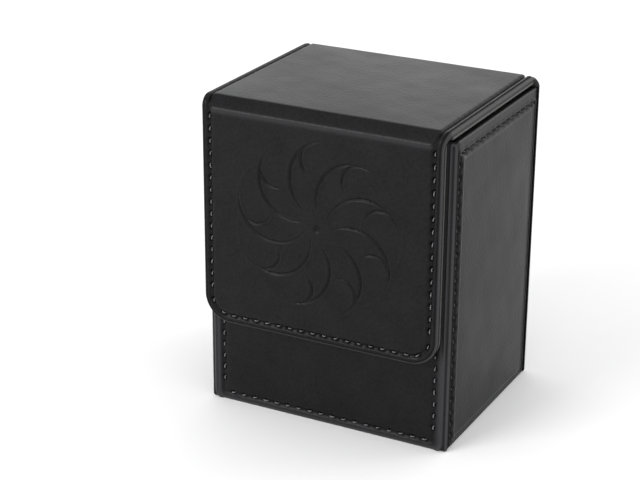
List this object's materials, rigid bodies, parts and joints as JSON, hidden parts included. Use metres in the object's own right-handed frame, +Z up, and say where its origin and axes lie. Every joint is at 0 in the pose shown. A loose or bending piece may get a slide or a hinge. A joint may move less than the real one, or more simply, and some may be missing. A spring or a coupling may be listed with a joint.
{
  "type": "card deck box",
  "caption": "Padded leatherette deck box for trading cards: an upright lined case with a fold-back lid and a front flap that closes on hidden magnets.",
  "frame": {"origin": "centre of the base of the closed box, on the surface that it stands on", "axes": "+Z up, from the base to the lid; +Y from the flap to the back; +X to the right, seen from the front"},
  "size_m": [0.0834, 0.0706, 0.104],
  "materials": {
    "leatherette": "fine matt grain",
    "microfibre": "napped",
    "greyboard": "raw",
    "foam": "thin padding",
    "thread": "twisted",
    "nickel": "plated"
  },
  "bodies": {
    "case": {"front_skin": "leatherette", "back_skin": "leatherette", "left_skin": "leatherette", "right_skin": "leatherette", "base_skin": "leatherette", "back_padding": "foam", "left_padding": "foam", "right_padding": "foam", "front_board": "greyboard", "back_board": "greyboard", "left_board": "greyboard", "right_board": "greyboard", "base_board": "greyboard", "tray_front_board": "greyboard", "tray_back_board": "greyboard", "tray_left_board": "greyboard", "tray_right_board": "greyboard", "front_lining": "microfibre", "back_lining": "microfibre", "left_lining": "microfibre", "right_lining": "microfibre", "base_lining": "microfibre", "case_magnets": "nickel", "front_stitches": "thread", "back_stitches": "thread", "left_stitches": "thread", "right_stitches": "thread", "back_hinge_fold": "leatherette"},
    "lid": {"lid_skin": "leatherette", "lid_padding": "foam", "lid_board": "greyboard", "lid_lining": "microfibre", "lid_stitches": "thread", "flap_hinge_fold": "leatherette"},
    "flap": {"flap_skin": "leatherette", "flap_padding": "foam", "flap_board": "greyboard", "flap_lining": "microfibre", "flap_magnets": "nickel", "flap_stitches": "thread"}
  },
  "joints": [
    {"name": "lid_fold", "type": "hinge", "parent": "case", "child": "lid", "pos_m": [0, 0.0347, 0.1034], "axis": [-1, 0, 0], "range_deg": [0, 200], "deforming": ["back_hinge_fold"]},
    {"name": "flap_fold", "type": "hinge", "parent": "lid", "child": "flap", "pos_m": [0, -0.0347, 0.1034], "axis": [-1, 0, 0], "range_deg": [0, 180], "deforming": ["flap_hinge_fold"]}
  ]
}
